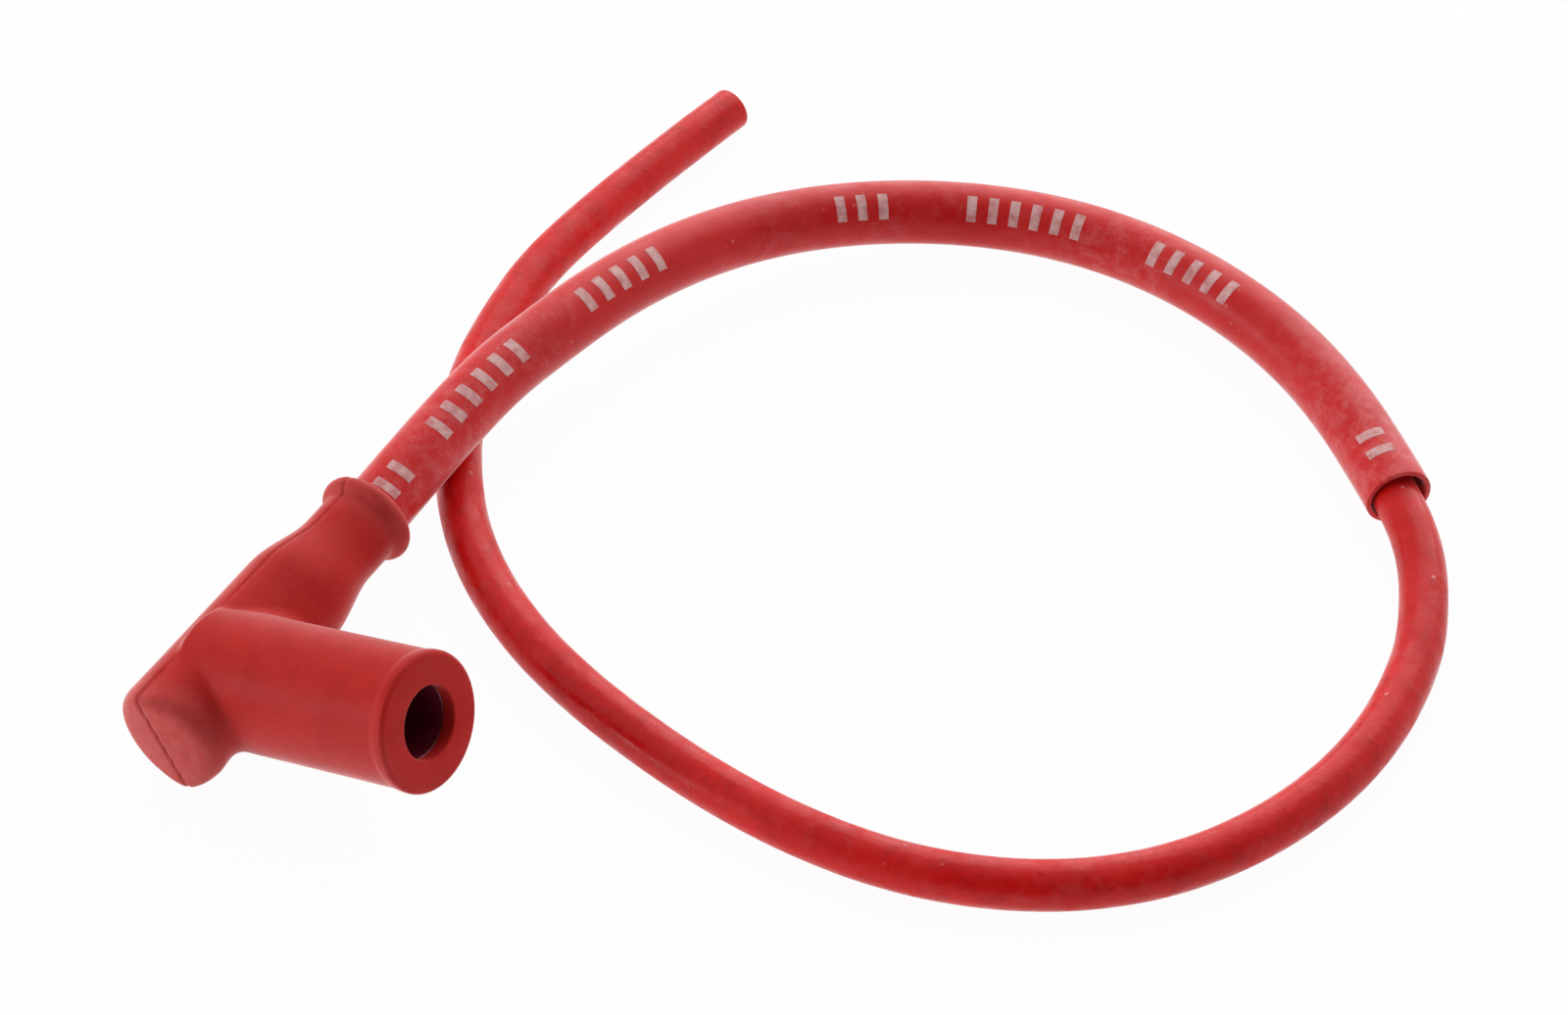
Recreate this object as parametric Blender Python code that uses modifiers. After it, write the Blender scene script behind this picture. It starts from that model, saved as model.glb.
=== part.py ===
"""Right-angle spark plug cap on its ignition lead.

Every size is in metres. The row stands on Z = 0 with +Z up.
The cap's own pieces are modelled round the point where the barrel's axis meets the leg's axis:
local +X runs along the barrel to its mouth, and local +Y runs along the leg to its collar.
"""
import math

import bmesh
import bpy
import numpy as np
from mathutils import Vector

# How the cap lies on the table
CAP_CENTRE = (-0.01518, -0.01194, 0.00927)
LEG_PITCH = math.radians(0.8)
BARREL_TILT = math.radians(17.9)

# Rubber moulding, outside
BARREL_RADIUS = 0.0097
BARREL_LENGTH = 0.0378
BARREL_ROOT_DEPTH = 0.0036
MOUTH_BEVEL = 0.0006
LEG_RADIUS = 0.0078
LEG_LENGTH = 0.0371
KNOB_RADIUS = 0.0084
KNOB_LENGTH = 0.0133
KNOB_CROWN = 0.0005
KNOB_RIM_RADIUS = 0.0024
KNOB_FLARE_START = 0.0030
SHOULDER_START = 0.0170
SHOULDER_LENGTH = 0.0118
NECK_RADIUS = 0.0060
COLLAR_BEAD = 0.0014
COLLAR_RADIUS = 0.0073

# Clearances
GAP = 0.0003
CUT_OVERRUN = 0.001

# Plug side, measured along the barrel
TERMINAL_RADIUS = 0.0033
TERMINAL_DEPTH = 0.0090
SOCKET_WALL = 0.0012
SOCKET_BASE = 0.0020
PLUG_BORE_RADIUS = 0.0052
TUBE_WALL = 0.0012
TUBE_FLOOR = 0.0015
LIP_DEPTH = 0.0020
LIP_BORE_RADIUS = 0.0051
CLIP_WIRE_RADIUS = 0.0003
CLIP_OPENING = math.radians(50)

# Cable side, measured along the leg
CONTACT_RADIUS = 0.0033
CONTACT_FRONT = 0.0045
CONTACT_BACK = 0.0077
CONTACT_NOSE_RADIUS = 0.0022
CONTACT_NOSE_LENGTH = 0.0085
SPRING_LENGTH = 0.0029
SPRING_WIRE_RADIUS = 0.0003
SPRING_RADIUS = 0.0022
SPRING_TURNS = 3
RESISTOR_RADIUS = 0.0030
RESISTOR_LENGTH = 0.0080
RESISTOR_CAP_LENGTH = 0.0018
RESISTOR_CAP_WALL = 0.0002
SCREW_HEAD_RADIUS = 0.0030
SCREW_HEAD_LENGTH = 0.0013
SCREW_SHANK_RADIUS = 0.0011
SCREW_SHANK_LENGTH = 0.0035
SCREW_POINT_LENGTH = 0.0025

# Lead
CABLE_RADIUS = 0.0035
CORE_RADIUS = 0.0011
SLEEVE_RADIUS = 0.0050
SLEEVE_WALL = 0.0008
SLEEVE_START = 0.0225
SLEEVE_LENGTH = 0.2270
SLEEVE_SHIFT = (0.0002, 0.0001, 0.0003)
TUBE_POINT_SPACING = 0.0145

# The lead's route beyond the collar, over itself and round on the table
ROUTE = [
    (-0.0140, 0.0505, 0.0127),
    (-0.0121, 0.0649, 0.0132),
    (-0.0090, 0.0804, 0.0129),
    (-0.0030, 0.0987, 0.0110),
    (0.0058, 0.1133, 0.0089),
    (0.0173, 0.1243, 0.0073),
    (0.0308, 0.1320, 0.0061),
    (0.0464, 0.1357, 0.0055),
    (0.0642, 0.1345, 0.0052),
    (0.0820, 0.1281, 0.0051),
    (0.0950, 0.1197, 0.0050),
    (0.1039, 0.1121, 0.0048),
    (0.1121, 0.1041, 0.0047),
    (0.1177, 0.0968, 0.0041),
    (0.1211, 0.0898, 0.0037),
    (0.1238, 0.0818, 0.0036),
    (0.1254, 0.0687, 0.0036),
    (0.1241, 0.0545, 0.0036),
    (0.1191, 0.0401, 0.0036),
    (0.1107, 0.0274, 0.0036),
    (0.0994, 0.0179, 0.0036),
    (0.0863, 0.0119, 0.0036),
    (0.0728, 0.0092, 0.0036),
    (0.0573, 0.0092, 0.0036),
    (0.0418, 0.0115, 0.0036),
    (0.0261, 0.0156, 0.0036),
    (0.0127, 0.0211, 0.0036),
    (0.0009, 0.0286, 0.0036),
    (-0.0084, 0.0375, 0.0036),
    (-0.0157, 0.0475, 0.0036),
    (-0.0207, 0.0568, 0.0036),
    (-0.0242, 0.0669, 0.0036),
    (-0.0265, 0.0786, 0.0036),
    (-0.0274, 0.0934, 0.0036),
    (-0.0238, 0.1249, 0.0036),
    (-0.0217, 0.1374, 0.0036),
]

# Facets of the round pieces
BODY_STEPS = 48
INNER_STEPS = 32
SMALL_STEPS = 20
TUBE_BEVEL_RESOLUTION = 4
WIRE_BEVEL_RESOLUTION = 2
ARC_STEPS = 8
BEAD_STEPS = 10
HALF_STEP = math.pi / BODY_STEPS
MERGE_DISTANCE = 0.00001

# Places that follow from the sizes above, along the barrel
SOCKET_BACK = CONTACT_NOSE_LENGTH + GAP
SOCKET_MOUTH = SOCKET_BACK + SOCKET_BASE + TERMINAL_DEPTH
SOCKET_RADIUS = TERMINAL_RADIUS + SOCKET_WALL
CLIP_PLACE = SOCKET_MOUTH - TERMINAL_DEPTH / 2
CLIP_RADIUS = SOCKET_RADIUS - CLIP_WIRE_RADIUS + GAP / 3
CLIP_GROOVE_RADIUS = CLIP_RADIUS - CLIP_WIRE_RADIUS - GAP
CLIP_GROOVE_HALF_WIDTH = CLIP_WIRE_RADIUS + GAP
SEAT_RADIUS = SOCKET_RADIUS + 4 / 3 * GAP
SEAT_FLOOR = SOCKET_BACK - GAP
SEAT_END = SOCKET_MOUTH + GAP
TUBE_RADIUS = PLUG_BORE_RADIUS + TUBE_WALL
TUBE_BACK = SEAT_FLOOR - TUBE_FLOOR
TUBE_FRONT = BARREL_LENGTH - LIP_DEPTH - GAP
NOSE_BORE_RADIUS = CONTACT_NOSE_RADIUS + GAP

# Places that follow from the sizes above, along the leg
LEG_BORE_RADIUS = CONTACT_RADIUS + GAP
SPRING_BACK = CONTACT_FRONT + GAP
RESISTOR_BACK = SPRING_BACK + SPRING_LENGTH + GAP
SCREW_BACK = RESISTOR_BACK + RESISTOR_LENGTH + GAP
CABLE_START = SCREW_BACK + SCREW_HEAD_LENGTH + GAP
SCREW_POINT = SCREW_BACK + SCREW_HEAD_LENGTH + SCREW_SHANK_LENGTH + SCREW_POINT_LENGTH
CORE_START = SCREW_POINT + GAP
CABLE_BORE_RADIUS = CABLE_RADIUS + GAP
SLEEVE_BORE_RADIUS = SLEEVE_RADIUS + GAP
SLEEVE_BORE_START = SLEEVE_START - GAP
CABLE_WALL = CABLE_RADIUS - SCREW_SHANK_RADIUS - GAP
COLLAR_PLACE = LEG_LENGTH - COLLAR_BEAD


def clear_scene():
    for old in list(bpy.data.objects):
        bpy.data.objects.remove(old, do_unlink=True)


def make_collection(name):
    collection = bpy.data.collections.new(name)
    bpy.context.scene.collection.children.link(collection)
    return collection


def make_material(name, colour, roughness, metallic=0.0):
    material = bpy.data.materials.new(name)
    material.use_nodes = True
    shader = material.node_tree.nodes["Principled BSDF"]
    shader.inputs["Base Color"].default_value = (*colour, 1.0)
    shader.inputs["Roughness"].default_value = roughness
    shader.inputs["Metallic"].default_value = metallic
    material.diffuse_color = (*colour, 1.0)
    return material


def add_object(name, data, collection, material=None):
    piece = bpy.data.objects.new(name, data)
    collection.objects.link(piece)
    if material is not None:
        data.materials.append(material)
    return piece


def as_cutter(piece):
    piece.hide_render = True
    piece.display_type = "WIRE"
    return piece


def place_on_cap(piece, axis):
    """Parent a piece to the cap and turn its own Z to the cap's barrel or leg axis."""
    piece.parent = cap_frame
    if axis == "barrel":
        piece.rotation_euler = (0.0, math.pi / 2, 0.0)
    elif axis == "leg":
        piece.rotation_euler = (-math.pi / 2, 0.0, 0.0)
    return piece


def turned(name, profile, steps, axis, collection, material=None, ring=False, first_angle=0.0):
    """Turn a profile of (radius, place along the axis), listed from the far end back."""
    mesh = bpy.data.meshes.new(name)
    points = [(radius * math.cos(first_angle), radius * math.sin(first_angle), place)
              for radius, place in profile]
    edges = [(i, i + 1) for i in range(len(points) - 1)]
    if ring:
        edges.append((len(points) - 1, 0))
    mesh.from_pydata(points, edges, [])
    piece = add_object(name, mesh, collection, material)
    screw = piece.modifiers.new("Turn", "SCREW")
    screw.angle = 2 * math.pi
    screw.steps = steps
    screw.render_steps = steps
    screw.use_merge_vertices = True
    screw.merge_threshold = MERGE_DISTANCE
    screw.use_smooth_shade = True
    return place_on_cap(piece, axis)


def combine(piece, operation, other):
    boolean = piece.modifiers.new(f"{operation} {other.name}", "BOOLEAN")
    boolean.operation = operation
    boolean.object = other
    boolean.solver = "EXACT"


def arc(centre, radii, start, end, steps=ARC_STEPS):
    """Points on an ellipse, as (radius, place) pairs, from one angle to another."""
    points = []
    for i in range(steps + 1):
        angle = start + (end - start) * i / steps
        points.append((centre[0] + radii[0] * math.cos(angle), centre[1] + radii[1] * math.sin(angle)))
    return points


def tube_curve(name, points, radius, bevel_resolution, collection, material, caps=True):
    """A round tube along a line of points, as a curve object."""
    curve = bpy.data.curves.new(name, "CURVE")
    curve.dimensions = "3D"
    curve.bevel_depth = radius
    curve.bevel_resolution = bevel_resolution
    curve.use_fill_caps = caps
    spline = curve.splines.new("POLY")
    spline.points.add(len(points) - 1)
    for spot, place in zip(spline.points, points):
        spot.co = (*place, 1.0)
    return add_object(name, curve, collection, material)


def curve_to_mesh(piece):
    """Replace a curve object by the mesh that it evaluates to."""
    depsgraph = bpy.context.evaluated_depsgraph_get()
    mesh = bpy.data.meshes.new_from_object(piece.evaluated_get(depsgraph))
    shape = bmesh.new()
    shape.from_mesh(mesh)
    bmesh.ops.remove_doubles(shape, verts=shape.verts, dist=MERGE_DISTANCE)
    shape.to_mesh(mesh)
    shape.free()
    name, collection, place = piece.name, piece.users_collection[0], piece.matrix_world.copy()
    parent = piece.parent
    bpy.data.objects.remove(piece, do_unlink=True)
    solid = bpy.data.objects.new(name, mesh)
    collection.objects.link(solid)
    solid.parent = parent
    solid.matrix_world = place
    return solid


def hollow_tube(name, points, radius, wall, collection, material):
    """A tube open at both ends: the bevelled curve's surface, thickened inwards."""
    tube = curve_to_mesh(
        tube_curve(name, points, radius, TUBE_BEVEL_RESOLUTION, collection, material, caps=False))
    shell = tube.modifiers.new("Wall", "SOLIDIFY")
    shell.thickness = wall
    shell.offset = -1.0
    shell.use_even_offset = True
    return tube


def smooth_route(points, steps_per_span=24):
    """A natural cubic spline through the points, read finely enough to measure along."""
    knots = np.array(points, dtype=float)
    spans = np.sqrt(np.linalg.norm(np.diff(knots, axis=0), axis=1))
    count = len(knots)
    system = np.eye(count)
    right = np.zeros((count, 3))
    for i in range(1, count - 1):
        before, after = spans[i - 1], spans[i]
        system[i, i - 1] = before
        system[i, i] = 2 * (before + after)
        system[i, i + 1] = after
        right[i] = 6 * ((knots[i + 1] - knots[i]) / after - (knots[i] - knots[i - 1]) / before)
    bends = np.linalg.solve(system, right)
    line = []
    for i, span in enumerate(spans):
        for step in range(steps_per_span):
            t = span * step / steps_per_span
            rest = span - t
            line.append(
                bends[i] * rest ** 3 / (6 * span) + bends[i + 1] * t ** 3 / (6 * span)
                + (knots[i] / span - bends[i] * span / 6) * rest
                + (knots[i + 1] / span - bends[i + 1] * span / 6) * t)
    line.append(knots[-1])
    return np.array(line)


def distances_along(line):
    steps = np.linalg.norm(np.diff(line, axis=0), axis=1)
    return np.concatenate([[0.0], np.cumsum(steps)])


def read_stretch(line, start, end):
    """Evenly spaced points on the line between two distances along it."""
    distances = distances_along(line)
    count = max(1, math.ceil((end - start) / TUBE_POINT_SPACING))
    places = np.linspace(start, end, count + 1)
    return np.stack([np.interp(places, distances, line[:, i]) for i in range(3)], axis=1)


def build_moulding():
    """The one-piece rubber moulding: barrel, knob, bottle-shaped leg and rolled collar."""
    shoulder = []
    for i in range(ARC_STEPS + 1):
        share = i / ARC_STEPS
        drop = (1 + math.cos(math.pi * share)) / 2
        shoulder.append((LEG_RADIUS + (NECK_RADIUS - LEG_RADIUS) * drop,
                         SHOULDER_START + SHOULDER_LENGTH * (1 - share)))

    # The knob flares a little towards its end, which has a round rim and a slight crown
    rim_centre = (KNOB_RADIUS - KNOB_RIM_RADIUS, KNOB_RIM_RADIUS + KNOB_CROWN - KNOB_LENGTH)
    knob = [(LEG_RADIUS, -KNOB_FLARE_START)]
    knob += arc(rim_centre, (KNOB_RIM_RADIUS, KNOB_RIM_RADIUS), 0.0, -math.pi / 2)

    # The rolled collar is a round bead at the neck's end
    bead_centre = (COLLAR_RADIUS - COLLAR_BEAD, COLLAR_PLACE)
    bead_end = -math.acos((NECK_RADIUS - bead_centre[0]) / COLLAR_BEAD)
    bead = arc(bead_centre, (COLLAR_BEAD, COLLAR_BEAD), math.pi / 2, bead_end, BEAD_STEPS)

    leg_profile = [(0.0, LEG_LENGTH)] + bead + shoulder + knob + [(0.0, -KNOB_LENGTH)]
    body = turned("cap_body", leg_profile, BODY_STEPS, "leg", parts, rubber)

    # The barrel dies into the leg's back as a shallow dome
    barrel_profile = [
        (0.0, BARREL_LENGTH),
        (BARREL_RADIUS - MOUTH_BEVEL, BARREL_LENGTH),
        (BARREL_RADIUS, BARREL_LENGTH - MOUTH_BEVEL),
    ]
    barrel_profile += arc((0.0, 0.0), (BARREL_RADIUS, BARREL_ROOT_DEPTH), 0.0, -math.pi / 2)[:-1]
    barrel_profile.append((0.0, -BARREL_ROOT_DEPTH))
    barrel = turned("barrel_form", barrel_profile, BODY_STEPS, "barrel", cutters)
    combine(body, "UNION", as_cutter(barrel))

    # Bores: the contact chamber and cable bore, the sleeve's bore, and the plug's side
    leg_bore = turned("leg_bore", [
        (0.0, LEG_LENGTH + CUT_OVERRUN),
        (SLEEVE_BORE_RADIUS, LEG_LENGTH + CUT_OVERRUN),
        (SLEEVE_BORE_RADIUS, SLEEVE_BORE_START),
        (CABLE_BORE_RADIUS, SLEEVE_BORE_START),
        (CABLE_BORE_RADIUS, CABLE_START - GAP),
        (LEG_BORE_RADIUS, CABLE_START - GAP),
        (LEG_BORE_RADIUS, -CONTACT_BACK - GAP),
        (0.0, -CONTACT_BACK - GAP),
    ], BODY_STEPS, "leg", cutters, first_angle=HALF_STEP)
    combine(body, "DIFFERENCE", as_cutter(leg_bore))
    plug_bore = turned("plug_bore", [
        (0.0, BARREL_LENGTH + CUT_OVERRUN),
        (LIP_BORE_RADIUS, BARREL_LENGTH + CUT_OVERRUN),
        (LIP_BORE_RADIUS, TUBE_FRONT + GAP),
        (TUBE_RADIUS + GAP, TUBE_FRONT + GAP),
        (TUBE_RADIUS + GAP, TUBE_BACK - GAP),
        (NOSE_BORE_RADIUS, TUBE_BACK - GAP),
        (NOSE_BORE_RADIUS, 0.0),
        (0.0, 0.0),
    ], BODY_STEPS, "barrel", cutters, first_angle=HALF_STEP)
    combine(body, "DIFFERENCE", as_cutter(plug_bore))
    return body


def build_plug_side():
    """The dark insulator tube, and the brass socket with its wire clip."""
    turned("insulator_tube", [
        (TUBE_RADIUS, TUBE_FRONT),
        (TUBE_RADIUS, TUBE_BACK),
        (NOSE_BORE_RADIUS, TUBE_BACK),
        (NOSE_BORE_RADIUS, SEAT_FLOOR),
        (SEAT_RADIUS, SEAT_FLOOR),
        (SEAT_RADIUS, SEAT_END),
        (PLUG_BORE_RADIUS, SEAT_END),
        (PLUG_BORE_RADIUS, TUBE_FRONT),
    ], INNER_STEPS, "barrel", parts, resin, ring=True)
    turned("plug_socket", [
        (0.0, SOCKET_BACK + SOCKET_BASE),
        (TERMINAL_RADIUS, SOCKET_BACK + SOCKET_BASE),
        (TERMINAL_RADIUS, SOCKET_MOUTH),
        (SOCKET_RADIUS, SOCKET_MOUTH),
        (SOCKET_RADIUS, CLIP_PLACE + CLIP_GROOVE_HALF_WIDTH),
        (CLIP_GROOVE_RADIUS, CLIP_PLACE + CLIP_GROOVE_HALF_WIDTH),
        (CLIP_GROOVE_RADIUS, CLIP_PLACE - CLIP_GROOVE_HALF_WIDTH),
        (SOCKET_RADIUS, CLIP_PLACE - CLIP_GROOVE_HALF_WIDTH),
        (SOCKET_RADIUS, SOCKET_BACK),
        (0.0, SOCKET_BACK),
    ], INNER_STEPS, "barrel", parts, brass)
    ring = []
    for i in range(INNER_STEPS + 1):
        angle = CLIP_OPENING / 2 + (2 * math.pi - CLIP_OPENING) * i / INNER_STEPS
        ring.append((CLIP_RADIUS * math.cos(angle), CLIP_RADIUS * math.sin(angle), CLIP_PLACE))
    clip = tube_curve("retaining_clip", ring, CLIP_WIRE_RADIUS, WIRE_BEVEL_RESOLUTION, parts, steel)
    place_on_cap(clip, "barrel")


def build_cable_side():
    """The elbow contact, the spring, the resistor and the screw that bites into the cable."""
    contact = turned("elbow_contact", [
        (0.0, CONTACT_FRONT),
        (CONTACT_RADIUS, CONTACT_FRONT),
        (CONTACT_RADIUS, -CONTACT_BACK),
        (0.0, -CONTACT_BACK),
    ], INNER_STEPS, "leg", parts, brass)
    nose = turned("contact_nose", [
        (0.0, CONTACT_NOSE_LENGTH),
        (CONTACT_NOSE_RADIUS, CONTACT_NOSE_LENGTH),
        (CONTACT_NOSE_RADIUS, 0.0),
        (0.0, 0.0),
    ], SMALL_STEPS, "barrel", cutters)
    combine(contact, "UNION", as_cutter(nose))

    coil = []
    steps = SPRING_TURNS * 2 * ARC_STEPS
    rise = SPRING_LENGTH - 2 * SPRING_WIRE_RADIUS
    for i in range(steps + 1):
        angle = 2 * math.pi * SPRING_TURNS * i / steps
        height = SPRING_BACK + SPRING_WIRE_RADIUS + rise * i / steps
        coil.append((SPRING_RADIUS * math.cos(angle), SPRING_RADIUS * math.sin(angle), height))
    spring = tube_curve("contact_spring", coil, SPRING_WIRE_RADIUS, WIRE_BEVEL_RESOLUTION, parts, steel)
    place_on_cap(spring, "leg")

    waist = RESISTOR_RADIUS - RESISTOR_CAP_WALL
    front = RESISTOR_BACK + RESISTOR_LENGTH
    turned("resistor", [
        (0.0, front),
        (RESISTOR_RADIUS, front),
        (RESISTOR_RADIUS, front - RESISTOR_CAP_LENGTH),
        (waist, front - RESISTOR_CAP_LENGTH),
        (waist, RESISTOR_BACK + RESISTOR_CAP_LENGTH),
        (RESISTOR_RADIUS, RESISTOR_BACK + RESISTOR_CAP_LENGTH),
        (RESISTOR_RADIUS, RESISTOR_BACK),
        (0.0, RESISTOR_BACK),
    ], SMALL_STEPS, "leg", parts, ceramic)

    shank_start = SCREW_BACK + SCREW_HEAD_LENGTH
    turned("cable_screw", [
        (0.0, SCREW_POINT),
        (SCREW_SHANK_RADIUS, SCREW_POINT - SCREW_POINT_LENGTH),
        (SCREW_SHANK_RADIUS, shank_start),
        (SCREW_HEAD_RADIUS, shank_start),
        (SCREW_HEAD_RADIUS, SCREW_BACK),
        (0.0, SCREW_BACK),
    ], SMALL_STEPS, "leg", parts, brass)


def on_leg(place):
    """A point on the leg's axis, in the row's frame."""
    return tuple(cap_frame.matrix_world @ Vector((0.0, place, 0.0)))


def build_lead():
    """The cable with its conductor, and the loose sleeve over the cable's first stretch."""
    straight = [CABLE_START, (CABLE_START + LEG_LENGTH) / 2, LEG_LENGTH - COLLAR_BEAD, LEG_LENGTH + CUT_OVERRUN]
    line = smooth_route([on_leg(place) for place in straight] + ROUTE)
    length = distances_along(line)[-1]
    core_start = CORE_START - CABLE_START
    sleeve_start = SLEEVE_START - CABLE_START
    sleeve_end = sleeve_start + SLEEVE_LENGTH
    covered = read_stretch(line, sleeve_start, sleeve_end)
    bare = read_stretch(line, sleeve_end, length)
    first = read_stretch(line, 0.0, sleeve_start)
    core_first = read_stretch(line, core_start, sleeve_end)

    hollow_tube("ignition_cable", np.concatenate([first[:-1], covered[:-1], bare]),
                CABLE_RADIUS, CABLE_WALL, parts, cable_rubber)
    tube_curve("conductor_core", np.concatenate([core_first[:-1], bare]),
               CORE_RADIUS, WIRE_BEVEL_RESOLUTION, parts, copper)

    # The loose sleeve hugs the cable at the collar and stands a little off it at its open end
    share = np.linspace(0.0, 1.0, len(covered))[:, None]
    hollow_tube("protective_sleeve", covered + share * np.array(SLEEVE_SHIFT),
                SLEEVE_RADIUS, SLEEVE_WALL, parts, sleeve_rubber)


clear_scene()
parts = make_collection("spark_plug_cap")
cutters = make_collection("cutters")

rubber = make_material("cap_rubber", (0.42, 0.022, 0.020), 0.55)
cable_rubber = make_material("cable_rubber", (0.56, 0.012, 0.012), 0.35)
sleeve_rubber = make_material("sleeve_rubber", (0.52, 0.050, 0.060), 0.50)
resin = make_material("dark_resin", (0.020, 0.010, 0.012), 0.30)
brass = make_material("brass", (0.62, 0.44, 0.16), 0.30, metallic=1.0)
steel = make_material("spring_steel", (0.55, 0.55, 0.55), 0.30, metallic=1.0)
ceramic = make_material("ceramic", (0.80, 0.78, 0.72), 0.45)
copper = make_material("tinned_copper", (0.60, 0.50, 0.42), 0.35, metallic=1.0)

cap_frame = bpy.data.objects.new("cap_frame", None)
parts.objects.link(cap_frame)
cap_frame.location = CAP_CENTRE
cap_frame.rotation_mode = "YXZ"
cap_frame.rotation_euler = (LEG_PITCH, -BARREL_TILT, 0.0)
bpy.context.view_layer.update()

build_moulding()
build_plug_side()
build_cable_side()
build_lead()
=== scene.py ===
"""Looks of the right-angle spark plug cap on its ignition lead.

Places and sizes are in metres in the row's frame, as in the part's source. The cap's moulding is
worked out in millimetres round the point where the barrel's axis meets the leg's axis: X runs along
the barrel to its mouth, and Y runs along the leg to its collar.
"""
import math

import bmesh
import bpy
import numpy as np
from mathutils import Euler, Matrix, Vector


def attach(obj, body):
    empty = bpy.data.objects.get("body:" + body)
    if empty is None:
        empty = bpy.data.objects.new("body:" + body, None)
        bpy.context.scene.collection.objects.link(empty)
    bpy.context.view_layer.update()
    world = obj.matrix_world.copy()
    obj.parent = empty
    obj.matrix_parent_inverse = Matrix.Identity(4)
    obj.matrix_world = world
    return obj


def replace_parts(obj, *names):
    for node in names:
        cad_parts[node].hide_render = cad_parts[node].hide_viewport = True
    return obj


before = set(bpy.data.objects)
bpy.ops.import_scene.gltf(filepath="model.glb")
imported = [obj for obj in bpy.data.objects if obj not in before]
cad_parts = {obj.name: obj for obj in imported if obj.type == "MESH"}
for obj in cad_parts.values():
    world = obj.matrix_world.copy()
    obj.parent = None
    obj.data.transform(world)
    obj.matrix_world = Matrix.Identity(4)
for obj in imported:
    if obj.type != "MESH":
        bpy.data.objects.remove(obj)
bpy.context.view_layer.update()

MM = 0.001

# How the cap lies on the table
CAP_CENTRE = (-0.01518, -0.01194, 0.00927)
LEG_PITCH = math.radians(0.8)
BARREL_TILT = math.radians(17.9)
CAP_MATRIX = (Matrix.Translation(CAP_CENTRE)
              @ Euler((LEG_PITCH, -BARREL_TILT, 0.0), "YXZ").to_matrix().to_4x4())

# Rubber moulding, in millimetres
BARREL_RADIUS = 9.7
BARREL_WAIST = 9.48
MOUTH_BAND = 1.3
BARREL_SKEW = 1.1
BARREL_LENGTH = 37.8
BARREL_REAR = 3.6
MOUTH_ROUNDING = 0.75
LEG_RADIUS = 7.92
LEG_SHIFT = -0.13
LEG_LENGTH = 37.1
KNOB_RADIUS = 8.2
KNOB_LENGTH = 13.3
KNOB_RIM = 2.3
KNOB_SEAM_RIM = 0.9
KNOB_RIM_SPREAD = 4
KNOB_RIM_BLEND = 1.17
KNOB_ROUNDING = 1.1
KNOB_BLUNTNESS = 1.8
KNOB_FLARE_START = 3.0
KNOB_FLARE_LENGTH = 7.4
KNOB_SHIFT = (0.33, -0.16)
HALVES_APART = 0.12
SHOULDER_START = 17.0
SHOULDER_LENGTH = 11.8
NECK_RADIUS = 6.0
BEAD_RADIUS = 1.4
BEAD_MIDDLE = 5.9
BEAD_PLACE = 35.7
BEAD_BLEND = 0.8
INNER_FILLET = 2.5
OUTER_FILLET = 2.0
LEAST_FILLET = 0.01
FILLET_REACH = 1.2
INNER_START = (-1, -2)
INNER_GROWTH = (6, 10)
SEAM_STEP = 0.10
SEAM_GROOVE = 0.12
SEAM_WIDTH = 0.26
SEAM_FADE = 2
SEAM_TURN = math.radians(6)
KNOB_SEAM = 1.2
KNOB_SEAM_START = 9
KNOB_SEAM_LENGTH = 3
ROUGH_STEPS = 64
SETTLE_STEP = 0.6

# Where the painted pale highlight over the knob's end and the collar fades in, in millimetres along the leg
KNOB_FADE = (-7.5, -13.5)
COLLAR_FADE = (31.0, 35.0)

# Bores of the moulding, in millimetres
LIP_BORE_RADIUS = 5.1
LIP_DEPTH = 2.0
LIP_ROUNDING = 0.25
TUBE_SEAT_RADIUS = 6.7
TUBE_SEAT_START = 6.7
NOSE_BORE_RADIUS = 2.5
CHAMBER_RADIUS = 3.6
CHAMBER_START = -8.0
CABLE_BORE_RADIUS = 3.8
CABLE_BORE_START = 17.6
SLEEVE_BORE_RADIUS = 5.3
SLEEVE_BORE_START = 22.2
OVERRUN = 2.0

# Plug side, in millimetres along the barrel
TUBE_RADIUS = 6.4
TUBE_BORE = 5.2
TUBE_BACK = 7.0
TUBE_FRONT = 35.6
TUBE_SEAT_END = 20.1
TUBE_LEAD_IN = 0.1
SOCKET_RADIUS = 4.5
SOCKET_BORE = 3.3
SOCKET_BACK = 8.8
SOCKET_FLOOR = 10.8
SOCKET_MOUTH = 19.8
SOCKET_LEAD_IN = 0.5
SOCKET_RECESS = 4.9
SOCKET_CLEARANCE = 0.3
SOCKET_CHAMFER = 0.2
CLIP_GROOVE = (3.9, 5.1)
CLIP_GROOVE_DEPTH = 0.8

# Lead
CABLE_RADIUS = 0.0035
CABLE_BORE = 0.0014
CABLE_START = 0.0179
CUT_ROUNDING = 0.00018
CORE_RADIUS = 0.0011
CORE_START = 0.0239
CORE_RINGS = 200
CORE_STEPS = 12
STRANDS = 7
STRAND_RADIUS = 0.00036
STRAND_RING = 0.00074
STRAND_LENGTH = 0.012
STRAND_PITCH = 0.020
STRAND_RINGS = 16
STRAND_STEPS = 12
SLEEVE_RADIUS = 0.0050
SLEEVE_WALL = 0.0008
SLEEVE_START = 0.0225
SLEEVE_LENGTH = 0.2270
SLEEVE_SHIFT = (0.0002, 0.0001, 0.0003)
SLEEVE_ROUNDING = 0.00022
SLEEVE_PATH_POINTS = 160
RING_SPACING = 0.0014
LIP_STEPS = 4

# Where the sleeve's dust thickens towards its open end, along X
DUSTY_END = (0.074, 0.100)

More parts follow.
